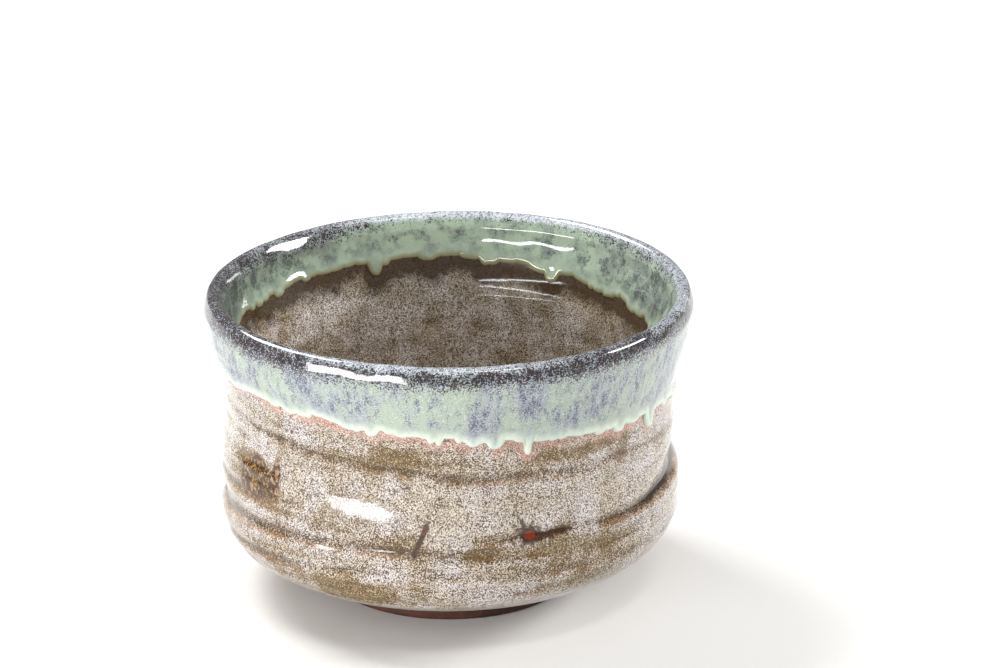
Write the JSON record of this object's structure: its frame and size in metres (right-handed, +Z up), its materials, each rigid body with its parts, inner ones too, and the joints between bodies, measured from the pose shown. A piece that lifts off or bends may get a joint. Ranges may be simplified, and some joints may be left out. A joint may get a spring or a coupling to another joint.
{
  "type": "matcha bowl",
  "caption": "Round matcha tea bowl: thrown clay body on a bare foot ring, speckled base glaze inside and out, celadon glaze over a dark lip.",
  "frame": {"origin": "centre of the ring that the bowl stands on", "axes": "+Z up along the bowl's axis towards the rim; +X and +Y level, -Y towards the side with the rust star"},
  "size_m": [0.12, 0.12, 0.076],
  "materials": {
    "clay_body": "bare fired stoneware, dark red-brown",
    "foot_ring": "bare fired stoneware, dark red-brown",
    "outer_glaze": "glossy, finely speckled warm grey over brown",
    "inner_glaze": "glossy, finely speckled grey and brown",
    "rim_glaze": "glossy pale blue-green celadon, burnt dark at the lip"
  },
  "bodies": {
    "root": {"clay_body": "clay_body", "foot_ring": "foot_ring", "outer_glaze": "outer_glaze", "inner_glaze": "inner_glaze", "rim_glaze": "rim_glaze"}
  },
  "joints": []
}
